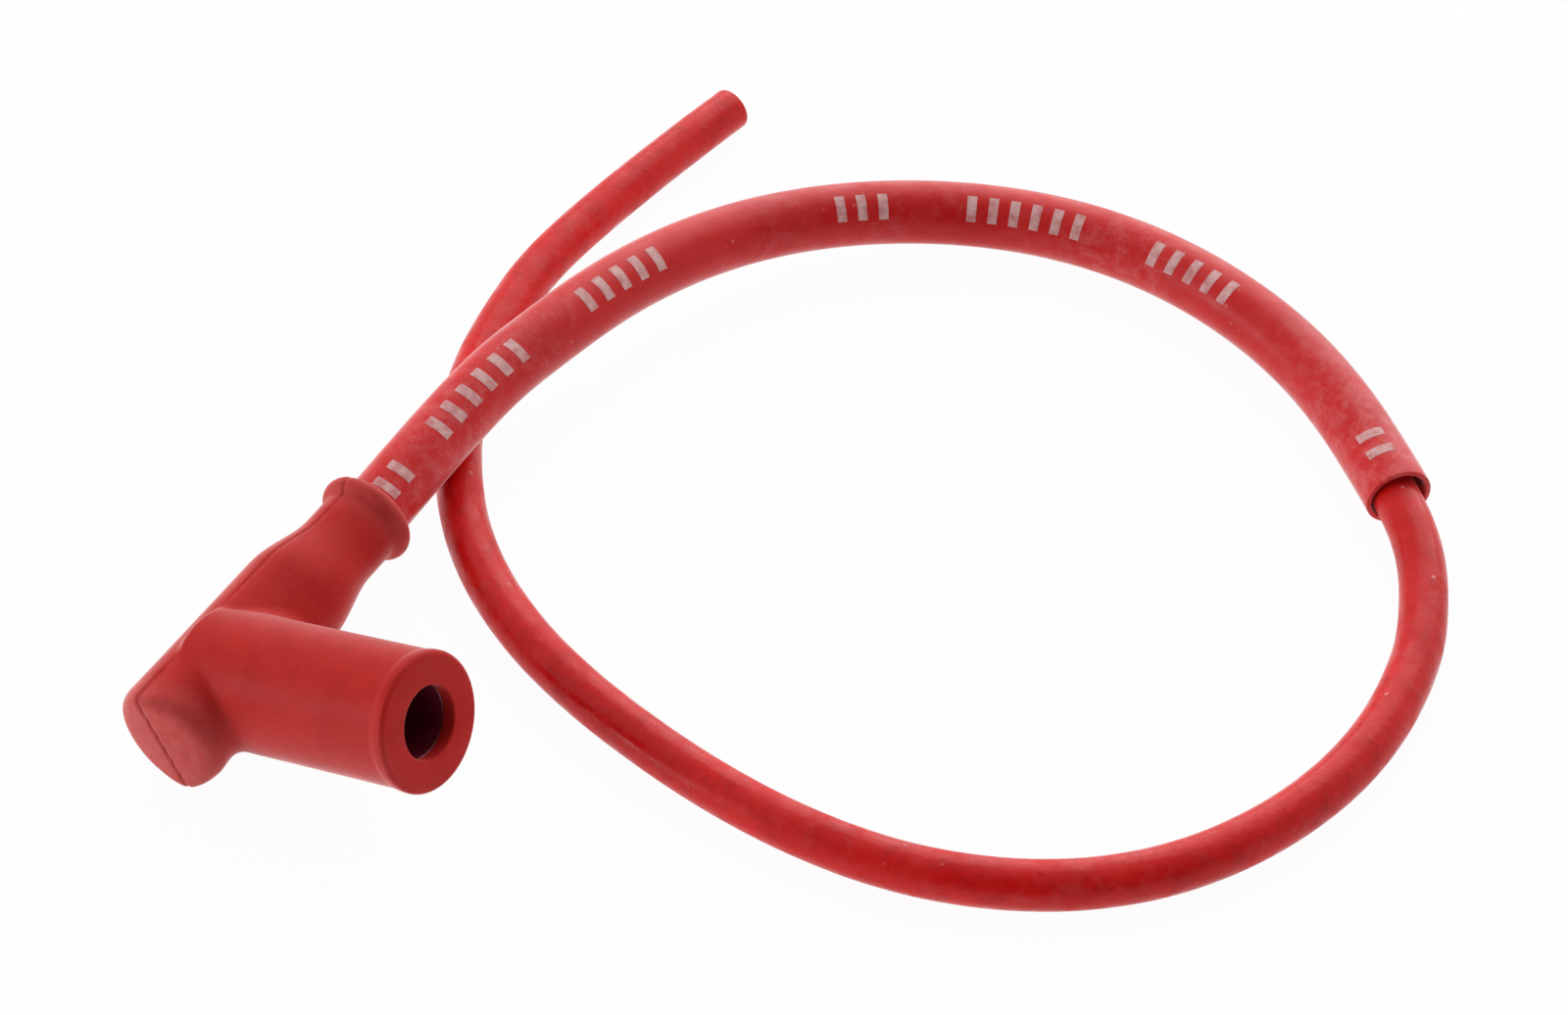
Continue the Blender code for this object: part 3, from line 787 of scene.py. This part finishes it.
class Lead:
    """The lead's centre line, with its length along and a steady sideways direction at each point."""

    def __init__(self):
        end = LEG_LENGTH * MM
        straight = [CABLE_START, (CABLE_START + end) / 2, end - BEAD_RADIUS * MM, end + MM]
        self.line = smooth_route([on_leg(place) for place in straight] + ROUTE)
        self.along = np.concatenate([[0.0], np.cumsum(np.linalg.norm(np.diff(self.line, axis=0), axis=1))])
        self.length = self.along[-1]
        ahead = np.gradient(self.line, self.along, axis=0)
        self.ahead = ahead / np.linalg.norm(ahead, axis=1)[:, None]
        side = np.cross(self.ahead[0], (0.0, 0.0, 1.0))
        sides = [side / np.linalg.norm(side)]
        for direction in self.ahead[1:]:
            side = sides[-1] - direction * (sides[-1] @ direction)
            sides.append(side / np.linalg.norm(side))
        self.side = np.array(sides)

    def read(self, places):
        """Points, directions ahead, to the side and up at these distances along the line."""
        found = [np.stack([np.interp(places, self.along, rows[:, i]) for i in range(3)], axis=1)
                 for rows in (self.line, self.ahead, self.side)]
        point, ahead, side = found
        ahead = ahead / np.linalg.norm(ahead, axis=1)[:, None]
        side = side - ahead * (side * ahead).sum(1)[:, None]
        side = side / np.linalg.norm(side, axis=1)[:, None]
        return point, ahead, side, np.cross(side, ahead)


def ring_of(shape, middle, radius, side, up, steps):
    """A ring of new vertices round a point of the lead."""
    ring = []
    for j in range(steps):
        angle = 2 * math.pi * j / steps
        ring.append(shape.verts.new(middle + radius * (math.cos(angle) * side + math.sin(angle) * up)))
    return ring


def tube_mesh(name, lead, profile, steps=TUBE_STEPS, shift=None):
    """A closed skin along the lead from (distance along, radius) points, closed on itself or at radius 0."""
    places = np.array([place for place, _ in profile])
    point, _, side, up = lead.read(places)
    if shift is not None:
        point = point + shift(places)
    shape = bmesh.new()
    rings = []
    for i, (_, radius) in enumerate(profile):
        if radius < 1e-9:
            rings.append([shape.verts.new(point[i])])
        else:
            rings.append(ring_of(shape, point[i], radius, side[i], up[i], steps))
    pairs = list(zip(rings, rings[1:]))
    if len(rings[0]) > 1 and len(rings[-1]) > 1:
        pairs.append((rings[-1], rings[0]))
    for first, second in pairs:
        join_rings(shape, first, second, steps)
    return finished_mesh(shape, name)


def hollow_profile(start, end, outer, inner, rounding):
    """A hollow tube's closed profile, with both lips rounded."""
    count = max(2, math.ceil((end - start) / RING_SPACING))
    outside = [(place, outer) for place in np.linspace(start + rounding, end - rounding, count)]
    inside = [(place, inner) for place in np.linspace(end - rounding, start + rounding, count)]
    near_lip = []
    far_lip = []
    for i in range(LIP_STEPS + 1):
        angle = math.pi / 2 * i / LIP_STEPS
        drop = rounding * (1 - math.cos(angle))
        reach = rounding * math.sin(angle)
        far_lip.append((end - rounding + reach, outer - drop))
        near_lip.append((start + rounding - reach, inner + drop))
    far_inner = [(place, inner + (outer - radius)) for place, radius in reversed(far_lip)]
    near_outer = [(place, outer - (radius - inner)) for place, radius in reversed(near_lip)]
    return outside[:-1] + far_lip + far_inner[:-1] + inside[:-1] + near_lip + near_outer[:-1]


def build_marks(lead, sleeve_start, shift, paint):
    """Plain pale marks in rows along the sleeve, each a thin curved patch on its surface."""
    shape = bmesh.new()
    half_turn = MARK_HEIGHT / SLEEVE_RADIUS / 2
    facing = np.array(MARK_FACING)
    for first, count in MARK_ROWS:
        for mark in range(count):
            start = sleeve_start + first + mark * MARK_PITCH
            places = np.linspace(start, start + MARK_LENGTH, MARK_SPANS + 1)
            point, _, side, up = lead.read(places)
            point = point + shift(places)
            layers = []
            for radius in (SLEEVE_RADIUS - MARK_LIFT, SLEEVE_RADIUS + MARK_LIFT):
                layer = []
                for i in range(MARK_SPANS + 1):
                    middle = math.atan2(facing @ up[i], facing @ side[i])
                    row = []
                    for j in range(MARK_STEPS + 1):
                        angle = middle + half_turn * (2 * j / MARK_STEPS - 1)
                        row.append(shape.verts.new(
                            point[i] + radius * (math.cos(angle) * side[i] + math.sin(angle) * up[i])))
                    layer.append(row)
                layers.append(layer)
            inner, outer = layers
            for i in range(MARK_SPANS):
                for j in range(MARK_STEPS):
                    shape.faces.new([outer[i][j], outer[i + 1][j], outer[i + 1][j + 1], outer[i][j + 1]])
                    shape.faces.new([inner[i][j], inner[i][j + 1], inner[i + 1][j + 1], inner[i + 1][j]])
                for j in (0, MARK_STEPS):
                    shape.faces.new([inner[i][j], inner[i + 1][j], outer[i + 1][j], outer[i][j]])
            for i in (0, MARK_SPANS):
                for j in range(MARK_STEPS):
                    shape.faces.new([inner[i][j], outer[i][j], outer[i][j + 1], inner[i][j + 1]])
    marks = link("sleeve_marks", finished_mesh(shape, "sleeve_marks"), paint)
    shade(marks, 50)
    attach(marks, "root")
    return marks


def build_lead(cable_material, sleeve_material, paint, copper):
    """The jacket, its conductor with strands at the cut end, and the loose sleeve."""
    lead = Lead()

    mesh = tube_mesh("lead_jacket", lead,
                     hollow_profile(0.0, lead.length, CABLE_RADIUS, CABLE_BORE, CUT_ROUNDING))
    jacket = link("lead_jacket", mesh, cable_material)
    shade(jacket, 50)
    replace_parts(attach(jacket, "root"), "ignition_cable")

    core_start = CORE_START - CABLE_START
    core_end = lead.length - STRAND_LENGTH
    places = np.linspace(core_start, core_end, CORE_RINGS)
    mesh = tube_mesh("lead_core", lead,
                     [(core_start, 0.0)] + [(place, CORE_RADIUS) for place in places] + [(core_end, 0.0)],
                     CORE_STEPS)
    core = link("lead_core", mesh, copper)
    shade(core, 50)
    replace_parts(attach(core, "root"), "conductor_core")
    strands = build_strands(lead, core_end, copper)

    sleeve_start = SLEEVE_START - CABLE_START
    sleeve_end = sleeve_start + SLEEVE_LENGTH

    def sleeve_shift(places):
        share = np.clip((places - sleeve_start) / SLEEVE_LENGTH, 0.0, 1.0)
        return share[:, None] * np.array(SLEEVE_SHIFT)

    mesh = tube_mesh("outer_sleeve", lead,
                     hollow_profile(sleeve_start, sleeve_end, SLEEVE_RADIUS, SLEEVE_RADIUS - SLEEVE_WALL,
                                    SLEEVE_ROUNDING), shift=sleeve_shift)
    sleeve = link("outer_sleeve", mesh, sleeve_material)
    shade(sleeve, 50)
    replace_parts(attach(sleeve, "root"), "protective_sleeve")
    marks = build_marks(lead, sleeve_start, sleeve_shift, paint)

    places = np.linspace(sleeve_start, sleeve_end, SLEEVE_PATH_POINTS)


def build_strands(lead, start, copper):
    """Twisted strands that show at the lead's cut end: a ring of them round a straight one."""
    shape = bmesh.new()
    places = np.linspace(start, lead.length, STRAND_RINGS)
    point, _, side, up = lead.read(places)
    outer_strands = STRANDS - 1
    for strand in range(STRANDS):
        turns = 2 * math.pi * (strand / outer_strands + (places - start) / STRAND_PITCH)
        ring_radius = 0.0 if strand == outer_strands else STRAND_RING
        middle = point + ring_radius * (np.cos(turns)[:, None] * side + np.sin(turns)[:, None] * up)
        rings = [ring_of(shape, middle[i], STRAND_RADIUS, side[i], up[i], STRAND_STEPS)
                 for i in range(STRAND_RINGS)]
        for first, second in zip(rings, rings[1:]):
            join_rings(shape, first, second, STRAND_STEPS)
        shape.faces.new(rings[0][::-1])
        shape.faces.new(rings[-1])
    strands = link("core_strands", finished_mesh(shape, "core_strands"), copper)
    shade(strands, 50)
    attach(strands, "root")
    return strands


# Studio


def build_floor():
    """A plain pale floor: nearly white to the camera and to bounced light, with a soft shadow."""
    mesh = bpy.data.meshes.new("floor")
    corners = [(x * FLOOR_HALF, y * FLOOR_HALF, 0) for x, y in ((-1, -1), (1, -1), (1, 1), (-1, 1))]
    mesh.from_pydata(corners, [], [(0, 1, 2, 3)])
    material = bpy.data.materials.new("floor")
    material.use_nodes = True
    tree = material.node_tree
    tree.nodes.remove(tree.nodes["Principled BSDF"])
    output = tree.nodes["Material Output"]
    diffuse = tree.nodes.new("ShaderNodeBsdfDiffuse")
    diffuse.inputs["Color"].default_value = (0.90, 0.90, 0.90, 1.0)
    glow = tree.nodes.new("ShaderNodeEmission")
    glow.inputs["Strength"].default_value = 1.0
    path = tree.nodes.new("ShaderNodeLightPath")
    seen = greater(tree, path.outputs["Is Camera Ray"], path.outputs["Is Glossy Ray"])
    share = greater(tree, multiply(tree, seen, FLOOR_GLOW), FLOOR_BOUNCE)
    mix = tree.nodes.new("ShaderNodeMixShader")
    tree.links.new(share, mix.inputs["Fac"])
    tree.links.new(diffuse.outputs["BSDF"], mix.inputs[1])
    tree.links.new(glow.outputs["Emission"], mix.inputs[2])
    tree.links.new(mix.outputs["Shader"], output.inputs["Surface"])
    link("floor", mesh, material)


def build_world():
    """White to the camera. Everything else sees a soft white tent with a dim opening at the front."""
    world = bpy.data.worlds.new("studio")
    bpy.context.scene.world = world
    world.use_nodes = True
    tree = world.node_tree
    background = tree.nodes["Background"]
    background.inputs["Color"].default_value = (1.0, 1.0, 1.0, 1.0)
    direction = tree.nodes.new("ShaderNodeTexCoord")
    facing = reach_along(tree, direction.outputs["Generated"], TENT_OPENING)
    tree.links.new(remap(tree, facing, *OPENING_EDGE, TENT_LEVEL, OPENING_LEVEL),
                   background.inputs["Strength"])
    white = tree.nodes.new("ShaderNodeBackground")
    white.inputs["Strength"].default_value = 1.0
    path = tree.nodes.new("ShaderNodeLightPath")
    mix = tree.nodes.new("ShaderNodeMixShader")
    tree.links.new(path.outputs["Is Camera Ray"], mix.inputs["Fac"])
    tree.links.new(background.outputs["Background"], mix.inputs[1])
    tree.links.new(white.outputs["Background"], mix.inputs[2])
    tree.links.new(mix.outputs["Shader"], tree.nodes["World Output"].inputs["Surface"])


def add_lamp(name, place, target, size, energy):
    lamp = bpy.data.lights.new(name, "AREA")
    lamp.shape = "DISK"
    lamp.size = size
    lamp.energy = energy
    lamp_object = bpy.data.objects.new(name, lamp)
    bpy.context.scene.collection.objects.link(lamp_object)
    lamp_object.location = place
    lamp_object.rotation_euler = (Vector(target) - Vector(place)).to_track_quat("-Z", "Y").to_euler()


def build_camera():
    camera = bpy.data.cameras.new("camera")
    camera.lens = CAMERA_LENS
    camera.sensor_width = 36.0
    camera.clip_start = 0.01
    camera_object = bpy.data.objects.new("camera", camera)
    bpy.context.scene.collection.objects.link(camera_object)
    camera_object.location = CAMERA_PLACE
    direction = Vector(CAMERA_TARGET) - Vector(CAMERA_PLACE)
    camera_object.rotation_euler = direction.to_track_quat("-Z", "Y").to_euler()
    bpy.context.scene.camera = camera_object


build_camera()
build_world()
build_floor()
add_lamp("back_softbox", place=(-0.10, 0.95, 0.50), target=(0.03, 0.06, 0.0), size=1.3, energy=8.0)
add_lamp("low_softbox", place=(-0.70, -0.55, 0.10), target=(-0.01, 0.0, 0.01), size=0.5, energy=4.5)
bpy.context.scene.view_settings.view_transform = "Standard"

cap_rubber = make_cap_rubber()
cable_rubber = make_cable_rubber()
sleeve_rubber = make_sleeve_rubber()
mark_paint = make_mark_paint()
dark_resin = make_dark_resin()
brass = make_metal("brass", (0.66, 0.46, 0.17), (0.52, 0.35, 0.13), 0.28)
spring_steel = make_metal("spring_steel", (0.60, 0.60, 0.60), (0.45, 0.45, 0.46), 0.30)
tinned_copper = make_metal("tinned_copper", (0.66, 0.58, 0.50), (0.52, 0.42, 0.34), 0.35)
ceramic = make_ceramic()

build_moulding(cap_rubber)
build_plug_side(dark_resin, brass)
build_lead(cable_rubber, sleeve_rubber, mark_paint, tinned_copper)

for node, material in (("retaining_clip", spring_steel), ("elbow_contact", brass),
                       ("contact_spring", spring_steel), ("resistor", ceramic), ("cable_screw", brass)):
    for material_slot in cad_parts[node].material_slots:
        material_slot.material = material
